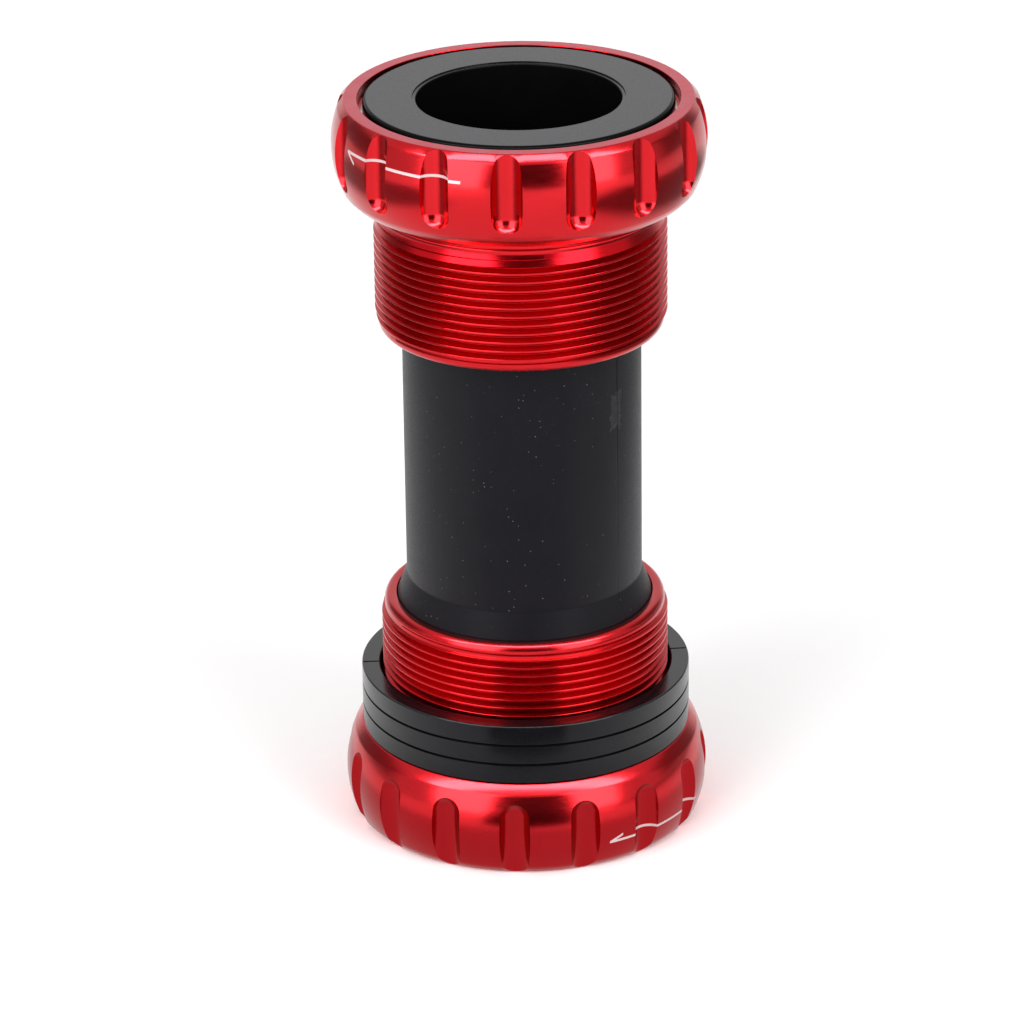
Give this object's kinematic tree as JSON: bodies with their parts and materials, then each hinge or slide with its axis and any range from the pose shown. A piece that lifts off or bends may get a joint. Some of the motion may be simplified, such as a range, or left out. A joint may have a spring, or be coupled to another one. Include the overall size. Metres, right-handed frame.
{
  "type": "bottom bracket",
  "caption": "Threaded bottom bracket with two notched outboard bearing cups, a central sleeve and loose spacer rings, for a through-axle crank spindle.",
  "frame": {"origin": "middle of the right dust cover's outer face, at the bottom of the part as it stands", "axes": "+Z along the spindle axis from the right (drive side) cup to the left cup; +X and +Y square to it, with one tool notch 4 degrees short of +X"},
  "size_m": [0.044, 0.044, 0.0909],
  "materials": {
    "anodised_cup": "turned aluminium, bright red anodised",
    "bearing_steel": "ground bearing steel",
    "ball_steel": "polished bearing balls",
    "cage_nylon": "natural nylon cage",
    "seal_rubber": "moulded black rubber on a steel disc",
    "cover_plastic": "satin dark grey plastic",
    "sleeve_nylon": "finely grained black nylon",
    "ring_rubber": "black rubber",
    "spacer_plastic": "smooth black plastic"
  },
  "bodies": {
    "right_cup": {"right_cup": "anodised_cup", "right_outer_race": "bearing_steel", "right_outboard_seal": "seal_rubber", "right_inboard_seal": "seal_rubber"},
    "right_spindle_seat": {"right_inner_race": "bearing_steel", "right_dust_cover": "cover_plastic"},
    "right_ball_set": {"right_balls": "ball_steel", "right_ball_cage": "cage_nylon"},
    "sleeve": {"sleeve": "sleeve_nylon", "sleeve_o_ring_right": "ring_rubber", "sleeve_o_ring_left": "ring_rubber"},
    "left_cup": {"left_cup": "anodised_cup", "left_outer_race": "bearing_steel", "left_outboard_seal": "seal_rubber", "left_inboard_seal": "seal_rubber"},
    "left_spindle_seat": {"left_inner_race": "bearing_steel", "left_dust_cover": "cover_plastic"},
    "left_ball_set": {"left_balls": "ball_steel", "left_ball_cage": "cage_nylon"},
    "spacer_1": {"spacer_1": "spacer_plastic"},
    "spacer_2": {"spacer_2": "spacer_plastic"},
    "spacer_3": {"spacer_3": "spacer_plastic"}
  },
  "joints": [
    {"name": "right_bearing_spin", "type": "hinge", "parent": "right_cup", "child": "right_spindle_seat", "pos_m": [0, 0, 0.0051], "axis": [0, 0, 1], "continuous": true},
    {"name": "right_cage_spin", "type": "hinge", "parent": "right_cup", "child": "right_ball_set", "pos_m": [0, 0, 0.0051], "axis": [0, 0, 1], "continuous": true},
    {"name": "sleeve_turn", "type": "hinge", "parent": "right_cup", "child": "sleeve", "pos_m": [0, 0, 0.028], "axis": [0, 0, 1], "continuous": true},
    {"name": "left_cup_slide", "type": "slide", "parent": "sleeve", "child": "left_cup", "axis": [0, 0, 1], "range_m": [0, 0.02]},
    {"name": "left_bearing_spin", "type": "hinge", "parent": "left_cup", "child": "left_spindle_seat", "pos_m": [0, 0, 0.0858], "axis": [0, 0, 1], "continuous": true},
    {"name": "left_cage_spin", "type": "hinge", "parent": "left_cup", "child": "left_ball_set", "pos_m": [0, 0, 0.0858], "axis": [0, 0, 1], "continuous": true},
    {"name": "spacer_1_lift", "type": "slide", "parent": "right_cup", "child": "spacer_1", "axis": [0, 0, 1], "range_m": [0, 0.02]},
    {"name": "spacer_2_lift", "type": "slide", "parent": "spacer_1", "child": "spacer_2", "axis": [0, 0, 1], "range_m": [0, 0.02]},
    {"name": "spacer_3_lift", "type": "slide", "parent": "spacer_2", "child": "spacer_3", "axis": [0, 0, 1], "range_m": [0, 0.02]}
  ],
  "couplings": [
    {"joint": "right_cage_spin", "follows": "right_bearing_spin", "ratio": 0.4435},
    {"joint": "left_cage_spin", "follows": "left_bearing_spin", "ratio": 0.4435}
  ]
}
